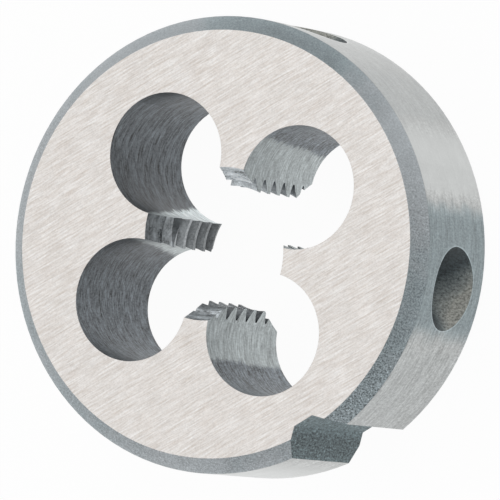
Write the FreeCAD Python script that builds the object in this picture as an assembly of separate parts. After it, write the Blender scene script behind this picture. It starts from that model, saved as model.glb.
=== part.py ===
"""Round threading die with four chip holes, lying on its back face.

A flat steel disc with a sloped edge, and a bore whose thread is left standing on four lands
between round chip holes. The rim has a notch and four cone-shaped dimples for a die holder.
Millimetres, Z up, origin at the centre of the back face; the bore runs along Z.
"""
import FreeCAD, Part
import math
import os

# disc
die_d = 25.0
die_h = 9.0
edge_w = 0.82          # how far the edge slope comes in on each face
edge_h = 0.8           # how far the edge slope runs down the rim

# thread in the bore, right handed
thread_d = 8.0
thread_pitch = 1.25
thread_turn = -36.0    # where a crest meets the back face, degrees from +X
thread_flank = 30.0    # lean of each flank of the thread
root_share = 0.125     # flat root of the thread, part of the pitch
crest_share = 0.25     # flat crest of the thread, part of the pitch
lead_threads = 1.75    # threads cut down by the lead-in cone at each face
lead_over = 0.6        # mouth of each lead-in, wider than the thread by this much
lead_relief = 0.5      # sideways shift of each land's cone, which clears behind its edge

# chip holes, set out so that the thread crests keep land_w of material between them
chip_d = 6.75
chip_count = 4
chip_at = -45.0        # where the first chip hole lies, degrees from +X
land_w = 1.66

# notch in the rim, beside the first chip hole
notch_at = -46.5
notch_depth = 1.4
notch_floor_w = 1.2
notch_flank = 45.0     # lean of each flank from the notch centre line

# screw dimples in the rim: a pair beside the notch and a smaller pair across the die
dimple_d = 5.1
far_dimple_d = 4.5
dimple_cone = 90.0
dimple_turn = 47.8     # from the line through the first chip hole

die_r = die_d / 2
chip_r = chip_d / 2
flank_run = thread_pitch * (1 - root_share - crest_share) / 2
thread_depth = flank_run / math.tan(math.radians(thread_flank))
minor_r = thread_d / 2 - thread_depth
lead_h = lead_threads * thread_pitch
overrun = die_h / 4    # how far cutting shapes run past the material
turn_gap = 60.0 / chip_count    # part of the first chip hole without groove, degrees
spare_turns = 2        # turns of groove cut beyond each face, so that none ends inside the die


def turned(points):
    """Solid made by turning a closed outline of (radius, height) points about Z."""
    corners = [FreeCAD.Vector(r, 0, z) for r, z in points]
    face = Part.Face(Part.makePolygon(corners + corners[:1]))
    return face.revolve(FreeCAD.Vector(0, 0, 0), FreeCAD.Vector(0, 0, 1), 360)


def turn_about_axis(shape, angle):
    """The same shape turned about the bore by an angle in degrees."""
    shape.rotate(FreeCAD.Vector(0, 0, 0), FreeCAD.Vector(0, 0, 1), angle)
    return shape


def disc():
    """Plain disc with the sloped edge on both faces."""
    face_r = die_r - edge_w
    return turned([
        (0, 0),
        (face_r, 0),
        (die_r, edge_h),
        (die_r, die_h - edge_h),
        (face_r, die_h),
        (0, die_h),
    ])


def bore():
    """Plain bore at the thread's minor diameter."""
    return Part.makeCylinder(minor_r, die_h + 2 * overrun, FreeCAD.Vector(0, 0, -overrun))


def lead_in():
    """Cone that opens the bore towards the front face, with its axis beside the bore's.

    It is kept to the quarter around +X and is widest at that quarter's clockwise end.
    """
    mouth_r = (thread_d + lead_over) / 2
    widening = (mouth_r - minor_r) / lead_h
    start_r = minor_r - lead_relief
    start_h = die_h - lead_h - lead_relief / widening
    end_r = mouth_r + overrun * widening
    beside = FreeCAD.Vector(0, -lead_relief, start_h)
    cone = Part.makeCone(start_r, end_r, die_h + overrun - start_h, beside)
    low = FreeCAD.Vector(0, 0, start_h)
    quarter = Part.makeCylinder(die_r, die_h, low, FreeCAD.Vector(0, 0, 1), 360.0 / chip_count)
    return cone.common(turn_about_axis(quarter, -180.0 / chip_count))


def lead_ins():
    """Lead-in cones of all lands at both faces; the back ones are the front ones flipped."""
    cones = []
    for i in range(chip_count):
        land_at = chip_at + (i + 0.5) * 360.0 / chip_count
        front = lead_in()
        back = lead_in()
        back.rotate(FreeCAD.Vector(0, 0, die_h / 2), FreeCAD.Vector(1, 0, 0), 180)
        cones.append(turn_about_axis(front, land_at))
        cones.append(turn_about_axis(back, land_at))
    return cones


def thread_turns():
    """Turns of the helical groove that leaves the thread standing, from face to face.

    Each turn starts and ends in the first chip hole, clear of the lands. Its outline
    starts inside the bore. A groove lies half a turn past each crest.
    """
    inner_r = minor_r - thread_depth / 4
    root_r = thread_d / 2
    root_half = thread_pitch * root_share / 2
    inner_half = root_half + flank_run * (root_r - inner_r) / thread_depth
    corners = [
        FreeCAD.Vector(inner_r, 0, -inner_half),
        FreeCAD.Vector(root_r, 0, -root_half),
        FreeCAD.Vector(root_r, 0, root_half),
        FreeCAD.Vector(inner_r, 0, inner_half),
    ]
    profile = Part.makePolygon(corners + corners[:1])
    helix = Part.makeHelix(thread_pitch, thread_pitch * (1 - turn_gap / 360.0), inner_r)
    start = chip_at + turn_gap / 2
    turn = turn_about_axis(helix.makePipeShell([profile], True, True), start)
    past_face = ((start - thread_turn) / 360.0 + 0.5) % 1
    turns = []
    for i in range(-spare_turns, int(die_h / thread_pitch) + spare_turns):
        turns.append(turn.translated(FreeCAD.Vector(0, 0, (i + past_face) * thread_pitch)))
    return turns


def chip_circle_r():
    """Radius of the chip hole centres that leaves each land its width at the crests."""
    half_gap = math.pi / chip_count - math.asin(land_w / 2 / minor_r)
    across = minor_r * math.sin(half_gap)
    return minor_r * math.cos(half_gap) + math.sqrt(chip_r ** 2 - across ** 2)


def chip_holes():
    """Round holes around the bore that break into it and part the thread into lands."""
    holes = []
    for i in range(chip_count):
        at = FreeCAD.Vector(chip_circle_r(), 0, -overrun)
        hole = Part.makeCylinder(chip_r, die_h + 2 * overrun, at)
        holes.append(turn_about_axis(hole, chip_at + i * 360.0 / chip_count))
    return holes


def notch():
    """Notch with a flat floor and sloped flanks, cut through the full height of the rim."""
    floor_r = die_r - notch_depth
    outer_r = die_r + overrun
    floor_half = notch_floor_w / 2
    outer_half = floor_half + (outer_r - floor_r) * math.tan(math.radians(notch_flank))
    corners = [
        FreeCAD.Vector(floor_r, -floor_half, -overrun),
        FreeCAD.Vector(outer_r, -outer_half, -overrun),
        FreeCAD.Vector(outer_r, outer_half, -overrun),
        FreeCAD.Vector(floor_r, floor_half, -overrun),
    ]
    outline = Part.Face(Part.makePolygon(corners + corners[:1]))
    wedge = outline.extrude(FreeCAD.Vector(0, 0, die_h + 2 * overrun))
    return turn_about_axis(wedge, notch_at)


def dimple(mouth_d, at):
    """Cone-shaped dimple at mid height, pointing at the bore, for a die holder's screw."""
    spread = math.tan(math.radians(dimple_cone / 2))
    depth = mouth_d / 2 / spread
    length = depth + overrun
    tip = FreeCAD.Vector(die_r - depth, 0, die_h / 2)
    cone = Part.makeCone(0, length * spread, length, tip, FreeCAD.Vector(1, 0, 0))
    return turn_about_axis(cone, at)


def dimples():
    """The pair of dimples beside the notch and the smaller pair across the die from it."""
    cones = []
    for side in (-1, 1):
        cones.append(dimple(dimple_d, chip_at + side * dimple_turn))
        cones.append(dimple(far_dimple_d, chip_at + 180.0 + side * dimple_turn))
    return cones


def die():
    """The finished die as one solid."""
    body = disc().cut([bore()] + lead_ins())
    body = body.cut(chip_holes())
    body = body.cut([notch()] + dimples())
    body = body.cut(thread_turns())
    return body.Solids[0]


os.makedirs("parts", exist_ok=True)
die().exportStep("parts/die_body.step")
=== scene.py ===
"""Looks of a round threading die that lies on its back face on a pale bench.

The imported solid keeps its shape. Its surface is finished by region: ground faces, blasted
edge slopes, a turned rim, drilled chip holes with ground cutting fronts, a blasted notch,
drilled dimples and the cut thread. Lengths in the classes are millimetres, and angles are
degrees from +X. Blender's own lengths are metres.
"""
import logging
import math
from dataclasses import dataclass, field
from enum import Enum
from typing import Callable

import bpy
import numpy as np
from mathutils import Matrix, Vector


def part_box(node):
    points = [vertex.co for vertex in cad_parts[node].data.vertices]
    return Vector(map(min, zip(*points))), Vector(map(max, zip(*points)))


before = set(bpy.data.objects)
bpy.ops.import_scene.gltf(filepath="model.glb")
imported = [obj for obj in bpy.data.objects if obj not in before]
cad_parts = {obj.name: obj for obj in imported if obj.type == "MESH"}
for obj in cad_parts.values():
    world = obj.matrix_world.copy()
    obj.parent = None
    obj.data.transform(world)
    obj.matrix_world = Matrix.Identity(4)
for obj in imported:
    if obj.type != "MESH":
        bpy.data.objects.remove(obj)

log = logging.getLogger("die")
MM = 0.001
Colour = tuple[float, float, float]
WHITE: Colour = (1.0, 1.0, 1.0)


# Shader writing

class Term:
    """A value in a shader, so that shader maths is written as an expression."""

    def __init__(self, sheet: "Sheet", socket: bpy.types.NodeSocket | None) -> None:
        """Wraps an output socket.

        Args:
            sheet: the node tree's writer.
            socket: the socket that gives the value, or None for a node without outputs.
        """
        self.sheet = sheet
        self.socket = socket

    def _math(self, operation: str, *others: "Term | float") -> "Term":
        """One Math node on this value and others.

        Args:
            operation: the Math node's operation.
            others: what goes into its further sockets.

        Returns:
            The node's value.
        """
        inputs = dict(enumerate((self, *others)))
        return self.sheet.add("ShaderNodeMath", {"operation": operation}, inputs)

    def __add__(self, other: "Term | float") -> "Term":
        """Sum."""
        return self._math("ADD", other)

    def __radd__(self, other: float) -> "Term":
        """Sum with a number on the left."""
        return self._math("ADD", other)

    def __sub__(self, other: "Term | float") -> "Term":
        """Difference."""
        return self._math("SUBTRACT", other)

    def __rsub__(self, other: float) -> "Term":
        """Difference from a number."""
        return self.sheet.number(other)._math("SUBTRACT", self)

    def __mul__(self, other: "Term | float") -> "Term":
        """Product."""
        return self._math("MULTIPLY", other)

    def __rmul__(self, other: float) -> "Term":
        """Product with a number on the left."""
        return self._math("MULTIPLY", other)

    def __truediv__(self, other: "Term | float") -> "Term":
        """Quotient."""
        return self._math("DIVIDE", other)

    def __rtruediv__(self, other: float) -> "Term":
        """Number divided by this."""
        return self.sheet.number(other)._math("DIVIDE", self)

    def __pow__(self, other: "Term | float") -> "Term":
        """Power."""
        return self._math("POWER", other)

    def __abs__(self) -> "Term":
        """Value without its sign."""
        return self._math("ABSOLUTE")

    def over(self, limit: "Term | float") -> "Term":
        """1 where this is greater than the limit, else 0."""
        return self._math("GREATER_THAN", limit)

    def under(self, limit: "Term | float") -> "Term":
        """1 where this is less than the limit, else 0."""
        return self._math("LESS_THAN", limit)

    def sign(self) -> "Term":
        """-1, 0 or 1."""
        return self._math("SIGN")

    def angle_from(self, other: "Term") -> "Term":
        """Angle in radians whose sine goes with this and whose cosine goes with other."""
        return self._math("ARCTAN2", other)

    def ramp(self, low: float, high: float) -> "Term":
        """Smooth step from 0 at low to 1 at high, either way round.

        Args:
            low: where the step starts.
            high: where it ends.

        Returns:
            The step.
        """
        settings = {"interpolation_type": "SMOOTHSTEP"}
        if low <= high:
            inputs = {"Value": self, "From Min": low, "From Max": high}
            return self.sheet.add("ShaderNodeMapRange", settings, inputs)
        inputs = {"Value": self, "From Min": high, "From Max": low,
                  "To Min": 1.0, "To Max": 0.0}
        return self.sheet.add("ShaderNodeMapRange", settings, inputs)


class Sheet:
    """Writes one node tree.

    A Noise node's values lie around noise_middle, and noise_spread brings most of them
    to between -1 and 1.
    """

    noise_middle = 0.5
    noise_spread = 3.2

    def __init__(self, tree: bpy.types.NodeTree) -> None:
        """Empties the tree.

        Args:
            tree: the material's or world's node tree.
        """
        self.tree = tree
        tree.nodes.clear()

    def add(self, kind: str, settings: dict | None = None, inputs: dict | None = None,
            out: int | str = 0) -> Term:
        """Adds a node.

        Args:
            kind: the node's type.
            settings: properties, which are set before the sockets.
            inputs: socket name or number to a number, colour or Term.
            out: the output that is wanted.

        Returns:
            The wanted output.
        """
        node = self.tree.nodes.new(kind)
        for name, value in (settings or {}).items():
            setattr(node, name, value)
        for name, value in (inputs or {}).items():
            if isinstance(value, Term):
                self.tree.links.new(value.socket, node.inputs[name])
            elif isinstance(value, tuple) and node.inputs[name].type == "RGBA":
                node.inputs[name].default_value = (*value, 1.0)
            else:
                node.inputs[name].default_value = value
        return Term(self, node.outputs[out]) if node.outputs else Term(self, None)

    def number(self, value: float) -> Term:
        """A number as a Term.

        Args:
            value: the number.

        Returns:
            The same number in the node tree.
        """
        term = self.add("ShaderNodeValue")
        term.socket.default_value = value
        return term

    def join(self, x: Term | float, y: Term | float, z: Term | float) -> Term:
        """A vector from three values."""
        return self.add("ShaderNodeCombineXYZ", None, {0: x, 1: y, 2: z})

    def split(self, vector: Term) -> tuple[Term, Term, Term]:
        """The three values of a vector.

        Args:
            vector: the vector.

        Returns:
            Its x, y and z.
        """
        first = self.add("ShaderNodeSeparateXYZ", None, {0: vector}, "X")
        outs = first.socket.node.outputs
        return first, Term(self, outs["Y"]), Term(self, outs["Z"])

    def noise(self, place: Term, detail: float, rough: float, cells: float = 1.0) -> Term:
        """Noise about 0, from roughly -1 to 1.

        Args:
            place: where it is read.
            detail: how many finer layers it has.
            rough: how strong the finer layers are.
            cells: cells to a unit of the place.

        Returns:
            The noise.
        """
        inputs = {"Vector": place, "Scale": cells, "Detail": detail, "Roughness": rough}
        raw = self.add("ShaderNodeTexNoise", {"noise_dimensions": "3D"}, inputs)
        return (raw - self.noise_middle) * self.noise_spread

    def mix(self, share: Term, first: Term | float, second: Term | float) -> Term:
        """Value that goes from first to second as share goes from 0 to 1."""
        return self.add("ShaderNodeMix", {"data_type": "FLOAT"}, {0: share, 2: first, 3: second})

    def blend(self, share: Term | float, first: Term | Colour,
              second: Term | Colour) -> Term:
        """Colour that goes from first to second as share goes from 0 to 1."""
        settings = {"data_type": "RGBA", "clamp_factor": True}
        return self.add("ShaderNodeMix", settings, {0: share, 6: first, 7: second}, 2)

    def shade(self, colour: Term | Colour, gain: Term) -> Term:
        """Colour made lighter or darker by a factor.

        Args:
            colour: the colour.
            gain: the factor, 1 where the colour stays.

        Returns:
            The colour times the factor.
        """
        grey = self.join(gain, gain, gain)
        settings = {"data_type": "RGBA", "blend_type": "MULTIPLY", "clamp_factor": True}
        return self.add("ShaderNodeMix", settings, {0: 1.0, 6: colour, 7: grey}, 2)


def srgb(red: int, green: int, blue: int) -> Colour:
    """Linear colour from the eight-bit one that is seen on a screen.

    Each part, as a share of 255, is divided by 12.92 where it is very dark. Elsewhere it
    has 0.055 added, is divided by 1.055 and is raised to the power 2.4.

    Args:
        red: the red part, 0 to 255.
        green: the green part.
        blue: the blue part.

    Returns:
        The linear colour.
    """
    def linear(level: int) -> float:
        """One part of the colour."""
        part = level / 255.0
        return part / 12.92 if part <= 0.04045 else ((part + 0.055) / 1.055) ** 2.4
    return linear(red), linear(green), linear(blue)


def direction(azimuth: float, elevation: float) -> Vector:
    """Unit vector that points a given way.

    Args:
        azimuth: its angle from +X, seen from above.
        elevation: its angle above the bench.

    Returns:
        The vector.
    """
    across = math.cos(math.radians(elevation))
    return Vector((across * math.cos(math.radians(azimuth)),
                   across * math.sin(math.radians(azimuth)),
                   math.sin(math.radians(elevation))))


# Sizes of the die, as the solid has them

@dataclass(frozen=True)
class DieSizes:
    """Where the die's regions lie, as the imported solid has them.

    Edge_w and edge_h are how far the edge slope comes in and runs down. Mouth_r is a
    radius just outside the lead-ins' mouths, and thread_r that of the thread's roots.
    Chip_at is how far a chip hole's centre lies from the middle along X and along Y.
    Notch_floor is the floor's distance from the middle, notch_half half its width, and
    dimple_turn the dimples' angle from the line through the first hole.
    """

    radius: float = 12.5
    height: float = 9.0
    edge_w: float = 0.82
    edge_h: float = 0.8
    mouth_r: float = 4.5
    thread_r: float = 4.0
    chip_r: float = 3.375
    chip_at: float = 4.09
    holes_angle: float = -45.0
    notch_angle: float = -46.5
    notch_floor: float = 11.1
    notch_half: float = 0.6
    dimple_r: float = 2.55
    far_dimple_r: float = 2.25
    dimple_turn: float = 47.8


class Region(Enum):
    """Parts of the surface that are finished alike."""

    RIM = "rim"
    EDGE = "edge slope"
    FACE = "ground face"
    NOTCH = "notch"
    DIMPLE = "dimple"
    CHIP_HOLE = "chip hole"
    LAND = "thread"


@dataclass
class Place:
    """Where a point of the surface lies, and the fine patterns that all finishes share.

    The dimple values belong to the nearest dimple: how deep the point lies inside its
    cone, how far from its axis and how far to one side of it. The hole values belong to
    the nearest chip hole: the angle round it, a number of its own and the distance from
    its centre. Clarity is how clearly grain shows.
    """

    x: Term
    y: Term
    z: Term
    radius: Term
    azimuth: Term
    from_middle: Term
    along_notch: Term
    across_notch: Term
    dimple_depth: Term
    dimple_off: Term
    dimple_side: Term
    hole_angle: Term
    hole_seed: Term
    hole_reach: Term
    grit: Term
    wall_grit: Term
    mottle: Term
    clarity: Term


@dataclass
class Layer:
    """What one finish gives at a point."""

    colour: Term
    roughness: Term
    metallic: Term | float
    height: Term


# Patterns that the finishes are made of

@dataclass(frozen=True)
class Band:
    """A stretch of values over which something comes in smoothly."""

    start: float
    full: float

    def of(self, value: Term) -> Term:
        """0 before the band, 1 past it."""
        return value.ramp(self.start, self.full)


@dataclass(frozen=True)
class Change:
    """A number that goes from one value to another."""

    first: float
    second: float

    def at(self, share: Term) -> Term:
        """The number where it has gone a share of the way, from 0 to 1."""
        return share * (self.second - self.first) + self.first


@dataclass(frozen=True)
class Speckle:
    """Noise that is alike in all directions."""

    cells: float
    detail: float
    rough: float

    def height(self, sheet: Sheet, spot: Term) -> Term:
        """Its height at a spot."""
        return sheet.noise(spot, self.detail, self.rough, self.cells)


@dataclass(frozen=True)
class Marks:
    """Noise drawn out along a surface, with its own number of cells to a millimetre each way."""

    cells_along: float
    cells_across: float
    detail: float
    rough: float

    def height(self, sheet: Sheet, along: Term, across: Term, seed: Term) -> Term:
        """The marks' height.

        Args:
            sheet: the node tree's writer.
            along: the way along the marks.
            across: the way across them.
            seed: the third coordinate, which parts one surface's marks from another's.

        Returns:
            The height.
        """
        spot = sheet.join(along * self.cells_along, across * self.cells_across, seed)
        return sheet.noise(spot, self.detail, self.rough)


@dataclass(frozen=True)
class LineSet:
    """Straight grinding lines that run one way."""

    angle: float
    seed: float
    marks: Marks

    def height(self, sheet: Sheet, at: Place) -> Term:
        """Marks along a line at the set's angle, from the point's x and y turned by it.

        Args:
            sheet: the node tree's writer.
            at: where the point lies.

        Returns:
            The lines' height.
        """
        along, across = turned(at.x, at.y, self.angle)
        return self.marks.height(sheet, along, across, at.z + self.seed)


@dataclass(frozen=True)
class Stretch:
    """A stretch round the die that is brighter or darker than the rest: painted light where its
    gain is above 0, painted shade where it is below.

    It lies around the azimuth at, reaches half to each side of it and fades over soft to
    each side of its ends.
    """

    at: float
    half: float
    soft: float
    gain: float

    def amount(self, azimuth: Term) -> Term:
        """How much brightness it adds at an azimuth, as a share."""
        away = abs(azimuth - self.at)
        return away.ramp(self.half + self.soft, self.half - self.soft) * self.gain


def brightness(azimuth: Term, stretches: tuple[Stretch, ...]) -> Term | float:
    """Brightness round the die, 1 where no stretch lies.

    Args:
        azimuth: the azimuth in degrees.
        stretches: the stretches that differ.

    Returns:
        The factor.
    """
    return sum((stretch.amount(azimuth) for stretch in stretches), start=1.0)


def turned(x: Term, y: Term, angle: float) -> tuple[Term, Term]:
    """Coordinates along and across a line from the axis.

    Args:
        x: the first coordinate.
        y: the second coordinate.
        angle: the line's angle in degrees.

    Returns:
        The way along the line, and the way to the left of it.
    """
    turn = math.radians(angle)
    return (x * math.cos(turn) + y * math.sin(turn),
            y * math.cos(turn) - x * math.sin(turn))


# Finishes

@dataclass(frozen=True)
class GroundFace:
    """Flat face with straight grinding lines that nearly all run one way."""

    valley: Colour = srgb(215, 207, 200)
    ridge: Colour = srgb(243, 241, 239)
    long_lines: LineSet = LineSet(angle=40.0, seed=3.0, marks=Marks(0.4, 12.0, 3.0, 0.65))
    short_lines: LineSet = LineSet(angle=44.0, seed=31.0, marks=Marks(0.9, 9.0, 3.0, 0.65))
    line_share: float = 0.6
    level: float = 0.5
    grain: float = 0.14
    mottle: float = 0.04
    roughness: float = 0.36
    smoother: float = -0.06
    metallic: float = 1.0

    def layer(self, sheet: Sheet, at: Place) -> Layer:
        """Two sets of pale lines that cross at a small angle over a warmer ground.

        The colour is halfway between valley and ridge where the lines are level, and the
        ridges are smoother than the valleys.

        Args:
            sheet: the node tree's writer.
            at: where the point lies.

        Returns:
            The finish.
        """
        lines = self.long_lines.height(sheet, at) * self.line_share \
            + self.short_lines.height(sheet, at) * self.line_share
        base = sheet.blend(lines + self.level, self.valley, self.ridge)
        gain = at.grit * self.grain + at.mottle * self.mottle + 1.0
        return Layer(sheet.shade(base, gain), lines * self.smoother + self.roughness,
                     self.metallic, lines)


@dataclass(frozen=True)
class BlastedSteel:
    """Steel roughened with grit, grainy and a little blue.

    Outer_edge_gain is how much lighter it is at the outermost edge, floor how much lighter one
    half of the notch's floor is, as painted light, and coarse how much stronger its grain is
    beside the notch.
    """

    colour: Colour
    # colour taken where the stretches paint shade
    painted_shade_colour: Colour
    contrast: float
    spark: float
    roughness: float
    mottle: float = 0.08
    outer_edge_gain: float = 0.0
    floor: float = 0.0
    coarse: float = 0.0
    upright: bool = False
    stretches: tuple[Stretch, ...] = ()
    bright_grains: Band = Band(0.35, 0.9)
    shade_and_mottle_band: Band = Band(1.05, 0.80)
    outermost: Band = Band(11.95, 12.5)
    notch_floor: Band = Band(-1.0, -0.6)
    beside_notch_x: Band = Band(7.0, 9.0)
    beside_notch_y: Band = Band(-1.0, -6.0)
    rougher: float = 0.06
    metallic: float = 0.75

    def layer(self, sheet: Sheet, at: Place) -> Layer:
        """Grain is fine noise, with a few bright grains, over a wide soft mottle and any
        stretches of painted light and shade.

        Args:
            sheet: the node tree's writer.
            at: where the point lies.

        Returns:
            The finish.
        """
        grit = at.wall_grit if self.upright else at.grit
        sparks = self.bright_grains.of(grit) * self.spark
        # painted light and shade from the stretches, with a random mottle
        tone = brightness(at.azimuth, self.stretches) + at.mottle * self.mottle
        base = sheet.blend(self.shade_and_mottle_band.of(tone), self.colour, self.painted_shade_colour)
        outer_edge_gain = self.outermost.of(at.radius) * self.outer_edge_gain
        # painted light on one half of the notch's floor
        floor = self.notch_floor.of(at.across_notch) * self.floor
        beside_notch = self.beside_notch_y.of(at.y) * self.beside_notch_x.of(at.x)
        coarse = beside_notch * self.coarse + 1.0
        grains = (grit * self.contrast + sparks) * at.clarity * coarse
        return Layer(sheet.shade(base, grains + outer_edge_gain + floor + tone),
                     grit * self.rougher + self.roughness, self.metallic, grit)


@dataclass(frozen=True)
class TurnedRim:
    """Rim with fine lines that run round it, with stretches of painted sheen and painted shade
    that stand for reflections.

    Climb is how much a line's height changes for each millimetre round the rim, wander how many
    degrees the mottle moves the ends of the stretches, and edge_light how much lighter the rim
    is where it breaks into a dimple, a painted highlight. The marks show less under the painted
    sheen.
    """

    sizes: DieSizes
    colour: Colour = srgb(189, 191, 190)
    # bluer colour of the painted shade stretches
    painted_shade_colour: Colour = srgb(180, 194, 198)
    lines: Marks = Marks(0.8, 5.0, 3.0, 0.65)
    climb: float = 0.06
    line_contrast: float = 0.42
    grain: float = 0.36
    mottle: float = 0.05
    wander: float = 1.3
    shade_and_mottle_band: Band = Band(0.95, 0.6)
    painted_sheen_band: Band = Band(1.05, 1.15)
    marks_under_painted_sheen: Change = Change(1.0, 0.25)
    dimple_edge: Band = Band(-0.10, -0.03)
    edge_light: float = 0.30
    roughness: float = 0.36
    rougher: float = 0.05
    painted_shade_rougher: float = 0.10
    grain_height: float = 0.5
    metallic: float = 0.9
    # painted sheen where the gain is above 0, painted shade where it is below, standing for
    # reflections
    stretches: tuple[Stretch, ...] = (
        Stretch(36.0, 9.5, 3.5, 0.17),
        Stretch(7.5, 16.0, 4.5, -0.41),
        Stretch(-28.0, 19.0, 8.0, -0.12),
        Stretch(86.0, 18.0, 10.0, 0.12),
        Stretch(60.0, 18.0, 5.0, -0.11),
        Stretch(-84.0, 22.0, 8.0, 0.34),
        Stretch(150.0, 22.0, 9.0, -0.16),
        Stretch(-138.0, 14.0, 6.0, 0.12),
    )

    def layer(self, sheet: Sheet, at: Place) -> Layer:
        """Lines are noise drawn out round the rim, which they climb a little.

        Painted shade stretches are bluer and rougher, and painted sheen stretches are smooth.

        Args:
            sheet: the node tree's writer.
            at: where the point lies.

        Returns:
            The finish.
        """
        round_way = at.azimuth * math.radians(self.sizes.radius)
        lines = self.lines.height(sheet, round_way, at.z + round_way * self.climb, at.radius)
        # painted light and shade round the rim, standing for reflections
        tone = brightness(at.azimuth + at.mottle * self.wander, self.stretches)
        painted_shade = self.shade_and_mottle_band.of(tone)
        base = sheet.blend(painted_shade, self.colour, self.painted_shade_colour)
        marks = (lines * self.line_contrast + at.wall_grit * self.grain) * at.clarity
        seen_marks = marks * self.marks_under_painted_sheen.at(self.painted_sheen_band.of(tone))
        # painted highlight where the rim breaks into a dimple
        broken = self.dimple_edge.of(at.dimple_depth) * self.edge_light
        gain = (seen_marks + at.mottle * self.mottle + 1.0) * tone + broken
        return Layer(sheet.shade(base, gain),
                     lines * self.rougher + painted_shade * self.painted_shade_rougher + self.roughness,
                     self.metallic, lines + at.wall_grit * self.grain_height)


@dataclass(frozen=True)
class GroundFront:
    """Ground front of one chip hole: its outermost radius at each face, and its tones.

    Skin_with_painted_light is how light the hardened wall is, set apart for each hole as painted
    light and shade. Painted_front_light is how light the ground front is, partly a painted
    highlight, and lean how much painted light the wall gains towards +Y.
    """

    at_back: float
    at_front: float
    skin: float
    painted_front_light: float = 1.0
    lean: float = 0.0


@dataclass(frozen=True)
class DrilledHole:
    """Drilled wall, dark from hardening, ground bright beside each land, with painted light and
    shade that differ from hole to hole.

    Climb is how much a mark's height changes for each millimetre round the hole. Ragged and wavy
    are how far the marks and the broad marks move the line where the bright front ends. A Change
    goes from its value on the wall to the one on the front.
    """

    sizes: DieSizes
    dark: Colour = srgb(104, 110, 115)
    bright: Colour = srgb(181, 188, 189)
    # each hole's painted light and shade on its wall and front
    upper_left: GroundFront = GroundFront(
        at_back=6.05, at_front=4.45, skin=0.77, painted_front_light=1.65, lean=0.09)
    lower_left: GroundFront = GroundFront(
        at_back=6.62, at_front=5.1, skin=0.92, painted_front_light=1.05, lean=-0.13)
    upper_right: GroundFront = GroundFront(at_back=5.85, at_front=6.45, skin=1.25)
    lower_right: GroundFront = GroundFront(at_back=6.42, at_front=6.20, skin=1.25)
    climb: float = 0.18
    marks: Marks = Marks(1.2, 3.0, 3.0, 0.7)
    fine: Marks = Marks(1.6, 7.5, 1.0, 0.5)
    broad: Marks = Marks(0.4, 1.1, 2.0, 0.5)
    broad_seed: float = 5.0
    ragged: float = 0.28
    wavy: float = 0.16
    front_edge: Band = Band(0.18, -0.18)
    marks_contrast: Change = Change(0.95, 0.15)
    fine_contrast: Change = Change(0.70, 0.40)
    grain: Change = Change(0.64, 0.22)
    broad_contrast: float = 0.18
    roughness: float = 0.42
    rougher: float = 0.06
    grain_height: float = 0.4
    metallic: float = 0.85

    def front(self, at: Place, name: str) -> Term:
        """One value of the front of the hole that the point lies in.

        Args:
            at: where the point lies.
            name: the value's name.

        Returns:
            The value.
        """
        left, right = at.x.under(0.0), at.x.over(0.0)
        low, high = at.y.under(0.0), at.y.over(0.0)
        return left * high * getattr(self.upper_left, name) \
            + left * low * getattr(self.lower_left, name) \
            + right * high * getattr(self.upper_right, name) \
            + right * low * getattr(self.lower_right, name)

    def layer(self, sheet: Sheet, at: Place) -> Layer:
        """Drill marks run round the hole, and the bright front ends in a ragged line.

        The line's radius changes evenly from the back face to the front one.

        Args:
            sheet: the node tree's writer.
            at: where the point lies.

        Returns:
            The finish.
        """
        s = self.sizes
        round_way = at.hole_angle * s.chip_r
        slant = at.z + round_way * self.climb
        marks = self.marks.height(sheet, round_way, slant, at.hole_seed)
        fine = self.fine.height(sheet, round_way, slant, at.hole_seed)
        broad = self.broad.height(sheet, round_way, slant, at.hole_seed + self.broad_seed)
        at_back = self.front(at, "at_back")
        reach = (self.front(at, "at_front") - at_back) * at.z / s.height + at_back
        past = at.radius + marks * self.ragged + broad * self.wavy - reach
        ground = self.front_edge.of(past)
        # painted light that grows towards +Y
        lean = self.front(at, "lean") * (abs(at.y) - s.chip_at) * at.y.sign()
        # the wall's tone with each hole's painted light and shade
        skin = self.front(at, "skin") + lean / s.chip_r
        # the ground front, with each hole's painted highlight
        front = sheet.shade(self.bright, self.front(at, "painted_front_light"))
        base = sheet.blend(ground, sheet.shade(self.dark, skin), front)
        gain = marks * self.marks_contrast.at(ground) + fine * self.fine_contrast.at(ground) \
            + broad * self.broad_contrast + at.wall_grit * skin * self.grain.at(ground) + 1.0
        return Layer(sheet.shade(base, gain), marks * self.rougher + self.roughness,
                     self.metallic, marks + at.wall_grit * self.grain_height)


@dataclass(frozen=True)
class ScaledDimple:
    """Drilled cone with scale left from hardening, darker above and lighter and browner below:
    the brown is the scale's, the dark above is painted shade and the light below painted light.

    Brown_and_painted_light is 0 where it is dark grey, and 1 or more where it is light and
    brown. At_back_face is its value at the height of the back face, and rise and aside are what
    each millimetre upwards or to the side adds to it.
    """

    # the dark upper colour is painted shade
    upper: Colour = srgb(64, 72, 75)
    middle: Colour = srgb(148, 160, 161)
    lower: Colour = srgb(157, 158, 152)
    at_back_face: float = 2.60
    rise: float = -0.70
    aside: float = -0.36
    mottle: float = 0.25
    grain: float = 0.85
    roughness: float = 0.55
    rougher: float = 0.05
    metallic: float = 0.55

    def layer(self, sheet: Sheet, at: Place) -> Layer:
        """Speckled scale that is lighter and browner low down and towards one side, with painted
        shade above and painted light below.

        Args:
            sheet: the node tree's writer.
            at: where the point lies.

        Returns:
            The finish.
        """
        # painted shade above and painted light below, together with the scale's brown
        brown_and_painted_light = at.mottle * self.mottle + at.dimple_side * self.aside \
            + at.z * self.rise + self.at_back_face
        skin = sheet.blend(brown_and_painted_light, self.middle, self.lower)
        base = sheet.blend(brown_and_painted_light, self.upper, skin)
        return Layer(sheet.shade(base, at.wall_grit * self.grain + 1.0),
                     at.wall_grit * self.rougher + self.roughness, self.metallic, at.wall_grit)


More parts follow.
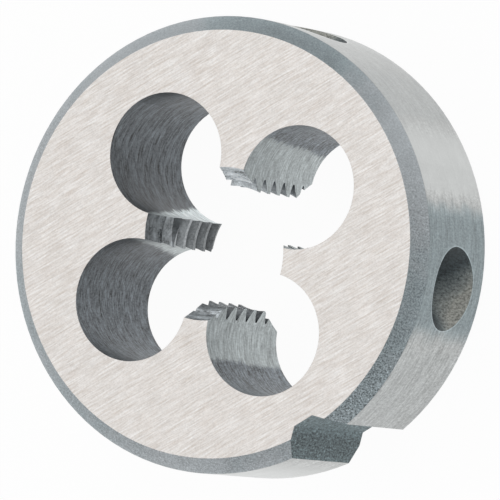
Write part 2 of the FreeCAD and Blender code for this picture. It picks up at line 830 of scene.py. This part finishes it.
@dataclass(frozen=True)
class CutThread:
    """Thread and lead-ins, with marks along the cut and dark roots, partly oxide and partly
    painted shade.

    The upper land lies towards +Y and the lower one towards -Y. Inner is the part of a
    lead-in that lies next to the full thread. The crests are bright out to bright_r, and
    mean_r turns an angle into a way round the thread. A Change goes from its value on the
    thread to the one on the lead-ins, apart from depth_light, which goes from low in the
    bore to the front face.
    """

    sizes: DieSizes
    crest: Colour = srgb(176, 181, 184)
    # dark root colour: partly oxide, partly painted shade
    root: Colour = srgb(70, 75, 79)
    lead_in: Colour = srgb(148, 153, 156)
    mean_r: float = 3.7
    bright_r: float = 3.35
    marks: Marks = Marks(1.1, 2.6, 4.0, 0.75)
    lead_in_from_middle: Band = Band(2.4, 3.1)
    inner_from_middle: Band = Band(3.8, 3.2)
    open_height: Band = Band(2.0, 9.0)
    depth_light: Change = Change(0.5, 1.0)
    upper_land: Band = Band(2.0, 3.0)
    lower_land: Band = Band(-2.0, -3.0)
    first_teeth: Band = Band(4.5, 6.5)
    # painted light and shade on the lands
    upper_light: float = 0.55
    upper_lead_in_light: float = 1.20
    lower_lead_in_light: float = 0.45
    inner_light: float = 0.35
    first_teeth_shade: float = 0.45
    marks_contrast: Change = Change(0.60, 1.50)
    grain: float = 0.40
    roughness: float = 0.36
    rougher: float = 0.06
    metallic: Change = Change(0.85, 0.30)

    def layer(self, sheet: Sheet, at: Place) -> Layer:
        """Marks run round the bore; the tone falls from the crests to the roots, partly oxide
        and partly painted shade.

        The lead-ins, near both faces, are duller and scatter more light. Painted light lightens
        the upper land and the lead-ins, and painted shade darkens the first teeth of the lower
        land and the bore towards the back face.

        Args:
            sheet: the node tree's writer.
            at: where the point lies.

        Returns:
            The finish.
        """
        round_way = at.azimuth * math.radians(self.mean_r)
        depth = at.radius * self.marks.cells_across
        marks = self.marks.height(sheet, round_way, at.z, depth)
        # darker towards the roots: partly oxide, partly painted shade
        rooted = at.radius.ramp(self.bright_r, self.sizes.thread_r)
        tooth = sheet.blend(rooted, self.crest, self.root)
        opened = self.lead_in_from_middle.of(at.from_middle)
        base = sheet.blend(opened, tooth, self.lead_in)
        # painted light on the upper land and lead-ins, painted shade on the first teeth and deep
        # in the bore
        upper, lower = self.upper_land.of(at.y), self.lower_land.of(at.y)
        inner = self.inner_from_middle.of(at.from_middle) * (1.0 - lower) * self.inner_light
        lead_in_light = (upper * self.upper_lead_in_light
                         + lower * self.lower_lead_in_light + inner) * opened
        first_teeth = self.first_teeth.of(at.z) * lower * (1.0 - opened)
        light = lead_in_light + upper * self.upper_light \
            + self.depth_light.at(self.open_height.of(at.z)) \
            - first_teeth * self.first_teeth_shade
        gain = (marks * self.marks_contrast.at(opened) + at.wall_grit * self.grain + 1.0) * light
        return Layer(sheet.shade(base, gain), marks * self.rougher + self.roughness,
                     self.metallic.at(opened), marks)


# The die

@dataclass
class Die:
    """The die's solid and the finish of each of its regions.

    Edge_break is the radius that softens the edges, and bump the height of the finishes'
    marks. Slack and face_slack are by how much the masks are widened, so that no sliver is
    left between two regions. Grain is less clear on the far side, towards +Y.
    """

    node: str = "die_body"
    sizes: DieSizes = field(default_factory=DieSizes)
    edge_break: float = 0.04
    edge_samples: int = 6
    bump: float = 0.006
    slack: float = 0.012
    face_slack: float = 0.003
    grit: Speckle = Speckle(10.5, 2.0, 0.7)
    wall_grit: Speckle = Speckle(8.5, 2.0, 0.7)
    wall_grit_height: float = 0.5
    mottle: Speckle = Speckle(0.8, 2.0, 0.5)
    far_side: Band = Band(2.5, 8.5)
    clarity: Change = Change(1.0, 0.5)
    hole_seed_x: float = 7.3
    hole_seed_y: float = 13.7

    def place(self, sheet: Sheet) -> Place:
        """Works out where the shaded point lies.

        The four holes are alike, so a hole's own coordinates are read from the quarter
        that x and y without their signs give. The dimples are read in the same way from
        the lines along and across the first hole. On upright walls the grit is drawn out
        in height.

        Args:
            sheet: the node tree's writer.

        Returns:
            The point's coordinates.
        """
        s = self.sizes
        metres = sheet.add("ShaderNodeTexCoord", None, None, "Object")
        spot = sheet.add("ShaderNodeVectorMath", {"operation": "SCALE"},
                         {0: metres, "Scale": 1.0 / MM})
        x, y, z = sheet.split(spot)
        from_middle = abs(z - s.height / 2)
        along_notch, across_notch = turned(x, y, s.notch_angle)
        along, across = turned(x, y, s.holes_angle)
        dimple_reach, dimple_side = turned(abs(along), abs(across), s.dimple_turn)
        dimple_off = (dimple_side * dimple_side + from_middle * from_middle) ** 0.5
        mouth_r = along.over(0.0) * (s.dimple_r - s.far_dimple_r) + s.far_dimple_r
        hole_x, hole_y = abs(x) - s.chip_at, abs(y) - s.chip_at
        return Place(
            x=x, y=y, z=z,
            radius=(x * x + y * y) ** 0.5,
            azimuth=y.angle_from(x) * math.degrees(1.0),
            from_middle=from_middle,
            along_notch=along_notch, across_notch=across_notch,
            dimple_depth=dimple_reach + mouth_r - s.radius - dimple_off,
            dimple_off=dimple_off, dimple_side=dimple_side,
            hole_angle=hole_y.angle_from(hole_x),
            hole_seed=x.sign() * self.hole_seed_x + y.sign() * self.hole_seed_y,
            hole_reach=(hole_x * hole_x + hole_y * hole_y) ** 0.5,
            grit=self.grit.height(sheet, spot),
            wall_grit=self.wall_grit.height(sheet, sheet.join(x, y, z * self.wall_grit_height)),
            mottle=self.mottle.height(sheet, spot),
            clarity=self.clarity.at(self.far_side.of(y)))

    def masks(self, at: Place) -> dict[Region, Term]:
        """Masks that pick each region, to be laid over one another in this order.

        Args:
            at: where the point lies.

        Returns:
            Region to a mask that is 0 or 1.
        """
        s, slack = self.sizes, self.slack
        inside = at.radius.under(s.radius - slack)
        slope = at.from_middle.over(s.height / 2 - s.edge_h + slack) \
            * at.radius.over(s.radius - s.edge_w - slack)
        flank = at.along_notch - (s.notch_floor - s.notch_half) - abs(at.across_notch)
        notch = flank.over(-slack) * at.along_notch.over(s.notch_floor - slack) * inside
        dimple = at.dimple_depth.over(-slack) * inside * at.dimple_off.under(s.dimple_r + slack)
        wall = at.hole_reach.under(s.chip_r + slack) * inside
        land = at.radius.under(s.mouth_r) * at.hole_reach.over(s.chip_r + slack / 2)
        face = at.from_middle.over(s.height / 2 - self.face_slack)
        return {Region.EDGE: slope, Region.DIMPLE: dimple, Region.NOTCH: notch,
                Region.CHIP_HOLE: wall, Region.LAND: land, Region.FACE: face}

    def finishes(self) -> dict[Region, Callable[[Sheet, Place], Layer]]:
        """The finish of each region.

        Returns:
            Region to the method that gives its layer.
        """
        # painted light and shade round the edge slope
        edge_stretches = (
            Stretch(36.0, 13.0, 6.0, 0.14),
            Stretch(-18.0, 28.0, 12.0, -0.16),
            Stretch(85.0, 21.0, 7.0, -0.26),
            Stretch(-84.0, 9.0, 6.0, 0.11),
            Stretch(-136.0, 30.0, 8.0, -0.08),
        )
        edge = BlastedSteel(
            colour=srgb(170, 175, 178), painted_shade_colour=srgb(165, 176, 180), contrast=0.62,
            spark=0.16, roughness=0.5, outer_edge_gain=0.10, coarse=0.85, stretches=edge_stretches)
        # the notch's floor gets painted light on one half
        notch = BlastedSteel(
            colour=srgb(105, 117, 120), painted_shade_colour=srgb(105, 117, 120), contrast=1.35,
            spark=1.0, roughness=0.6, mottle=0.14, outer_edge_gain=0.20, floor=0.42, upright=True)
        return {
            Region.RIM: TurnedRim(self.sizes).layer,
            Region.EDGE: edge.layer,
            Region.DIMPLE: ScaledDimple().layer,
            Region.NOTCH: notch.layer,
            Region.CHIP_HOLE: DrilledHole(self.sizes).layer,
            Region.LAND: CutThread(self.sizes).layer,
            Region.FACE: GroundFace().layer,
        }

    def steel(self) -> bpy.types.Material:
        """The die's one material, in which the regions' finishes are laid over one another.

        Returns:
            The material.
        """
        material = bpy.data.materials.new("die_steel")
        material.use_nodes = True
        sheet = Sheet(material.node_tree)
        at = self.place(sheet)
        finishes = self.finishes()
        under = finishes[Region.RIM](sheet, at)
        for region, mask in self.masks(at).items():
            over = finishes[region](sheet, at)
            under = Layer(sheet.blend(mask, under.colour, over.colour),
                          sheet.mix(mask, under.roughness, over.roughness),
                          sheet.mix(mask, under.metallic, over.metallic),
                          sheet.mix(mask, under.height, over.height))
        rounded = sheet.add("ShaderNodeBevel", {"samples": self.edge_samples},
                            {"Radius": self.edge_break * MM})
        normal = sheet.add("ShaderNodeBump", None, {
            "Strength": 1.0, "Distance": self.bump * MM,
            "Height": under.height, "Normal": rounded})
        surface = sheet.add("ShaderNodeBsdfPrincipled", None, {
            "Base Color": under.colour, "Roughness": under.roughness,
            "Metallic": under.metallic, "Normal": normal})
        sheet.add("ShaderNodeOutputMaterial", None, {"Surface": surface})
        return material

    def build(self) -> None:
        """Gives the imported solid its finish."""
        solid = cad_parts[self.node]
        for slot in solid.material_slots:
            slot.material = self.steel()
        low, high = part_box(self.node)
        log.info("die: %.1f x %.1f x %.1f mm", *((high - low) / MM))


# Bench, light and camera

@dataclass
class Bench:
    """Pale bench that runs up behind into a backdrop, in metres."""

    reach: float = 1.2
    half_width: float = 1.8
    wall: float = 1.2
    sweep: float = 0.25
    bend_points: int = 33
    colour: Colour = (0.9, 0.9, 0.9)
    glow: float = 0.96

    def mesh(self) -> bpy.types.Mesh:
        """A sheet that is flat, then turns up in a quarter circle, then stands upright.

        The profile is read by its length: flat up to the bend, an arc of the sweep's radius
        and then straight up. It is carried sideways over the width.

        Returns:
            The mesh.
        """
        arc = self.sweep * math.pi / 2
        flat = 2 * self.reach
        length = np.concatenate([[0.0], np.linspace(flat, flat + arc, self.bend_points),
                                 [flat + arc + self.wall]])
        bend = np.clip((length - flat) / self.sweep, 0.0, math.pi / 2)
        beyond = np.clip(length - flat - arc, 0.0, None)
        run = np.minimum(length, flat) + self.sweep * np.sin(bend) - self.reach
        rise = self.sweep * (1 - np.cos(bend)) + beyond
        side = np.array([-self.half_width, self.half_width])
        points = np.stack([
            np.repeat(-run, 2), np.tile(side, len(run)), np.repeat(rise, 2)], axis=1)
        first = 2 * np.arange(len(run) - 1)
        faces = np.stack([first, first + 1, first + 3, first + 2], axis=1)
        mesh = bpy.data.meshes.new("bench")
        mesh.from_pydata(points.tolist(), [], faces.tolist())
        mesh.polygons.foreach_set("use_smooth", np.ones(len(faces), bool))
        return mesh

    def material(self) -> bpy.types.Material:
        """Matt paint that also glows towards the camera and in reflections, so it stays pale.

        Returns:
            The material.
        """
        material = bpy.data.materials.new("bench_paint")
        material.use_nodes = True
        sheet = Sheet(material.node_tree)
        camera = sheet.add("ShaderNodeLightPath", None, None, "Is Camera Ray")
        outs = camera.socket.node.outputs
        seen = camera + Term(sheet, outs["Is Glossy Ray"]) \
            + Term(sheet, outs["Is Transmission Ray"])
        paint = sheet.add("ShaderNodeBsdfDiffuse", None, {"Color": self.colour})
        light = sheet.add("ShaderNodeEmission", None, {"Color": WHITE})
        mixed = sheet.add("ShaderNodeMixShader", None, {0: seen * self.glow, 1: paint, 2: light})
        sheet.add("ShaderNodeOutputMaterial", None, {"Surface": mixed})
        return material

    def build(self) -> None:
        """Puts the bench under the die."""
        bench = bpy.data.objects.new("bench", self.mesh())
        bench.data.materials.append(self.material())
        bpy.context.scene.collection.objects.link(bench)
        log.info("bench: %.1f m deep", 2 * self.reach)


@dataclass(frozen=True)
class Lamp:
    """One soft round lamp that points at the die, its distance and size in metres."""

    name: str
    azimuth: float
    elevation: float
    distance: float
    size: float
    watts: float
    colour: Colour = WHITE

    def build(self) -> None:
        """Hangs the lamp."""
        data = bpy.data.lights.new(self.name, "AREA")
        data.shape = "DISK"
        data.size = self.size
        data.energy = self.watts
        data.color = self.colour
        lamp = bpy.data.objects.new(self.name, data)
        away = direction(self.azimuth, self.elevation)
        lamp.matrix_world = Matrix.Translation(away * self.distance) \
            @ away.to_track_quat("Z", "Y").to_matrix().to_4x4()
        bpy.context.scene.collection.objects.link(lamp)
        log.info("lamp: %s", self.name)


@dataclass(frozen=True)
class Studio:
    """World light, a little darker round one way, and the key lamp."""

    above: Colour = WHITE
    level: Colour = (0.62, 0.63, 0.64)
    overhead: Band = Band(0.1, 0.85)
    shade_way: tuple[float, float] = (-15.0, 30.0)
    shaded: Band = Band(0.2, 1.0)
    shade: Change = Change(1.0, 0.65)
    key: Lamp = Lamp("key", azimuth=120.0, elevation=42.0, distance=0.45, size=0.30, watts=0.12)

    def build(self) -> None:
        """Makes the world light from above and from the sides, white where the camera looks."""
        world = bpy.data.worlds.new("studio")
        bpy.context.scene.world = world
        world.use_nodes = True
        sheet = Sheet(world.node_tree)
        way = sheet.add("ShaderNodeTexCoord", None, None, "Generated")
        rise = sheet.split(way)[2]
        towards = sheet.add("ShaderNodeVectorMath", {"operation": "DOT_PRODUCT"},
                            {0: way, 1: direction(*self.shade_way)}, "Value")
        sky = sheet.blend(self.overhead.of(rise), self.level, self.above)
        colour = sheet.shade(sky, self.shade.at(self.shaded.of(towards)))
        light = sheet.add("ShaderNodeBackground", None, {"Color": colour, "Strength": 1.0})
        white = sheet.add("ShaderNodeBackground", None, {"Color": WHITE})
        seen = sheet.add("ShaderNodeLightPath", None, None, "Is Camera Ray")
        mixed = sheet.add("ShaderNodeMixShader", None, {0: seen, 1: light, 2: white})
        sheet.add("ShaderNodeOutputWorld", None, {"Surface": mixed})
        self.key.build()


@dataclass(frozen=True)
class View:
    """Camera that stands where the photograph was taken from."""

    aim: tuple[float, float, float] = (0.076, -0.054, 4.5)
    azimuth: float = 5.79
    elevation: float = 64.55
    roll: float = -81.93
    distance: float = 416.55
    lens: float = 546.25
    sensor: float = 36.0
    nearest: float = 10.0
    farthest: float = 20000.0

    def build(self) -> None:
        """Sets the scene's camera."""
        data = bpy.data.cameras.new("camera")
        data.sensor_width = self.sensor
        data.lens = self.lens
        data.clip_start = self.nearest * MM
        data.clip_end = self.farthest * MM
        camera = bpy.data.objects.new("camera", data)
        back = direction(self.azimuth, self.elevation)
        right = Vector((0.0, 0.0, 1.0)).cross(back).normalized()
        level = Matrix((right, back.cross(right), back)).transposed()
        rolled = level @ Matrix.Rotation(math.radians(self.roll), 3, "Z")
        camera.matrix_world = Matrix.Translation(
            (Vector(self.aim) + back * self.distance) * MM) @ rolled.to_4x4()
        bpy.context.scene.collection.objects.link(camera)
        bpy.context.scene.camera = camera
        log.info("camera: %.0f mm away", self.distance)


def main() -> None:
    """Finishes the die and sets up bench, light and camera."""
    logging.basicConfig(level=logging.INFO, format="%(name)s: %(message)s")
    bpy.context.scene.view_settings.view_transform = "Standard"
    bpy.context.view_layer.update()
    View().build()
    Bench().build()
    Studio().build()
    Die().build()


if __name__ == "__main__":
    main()
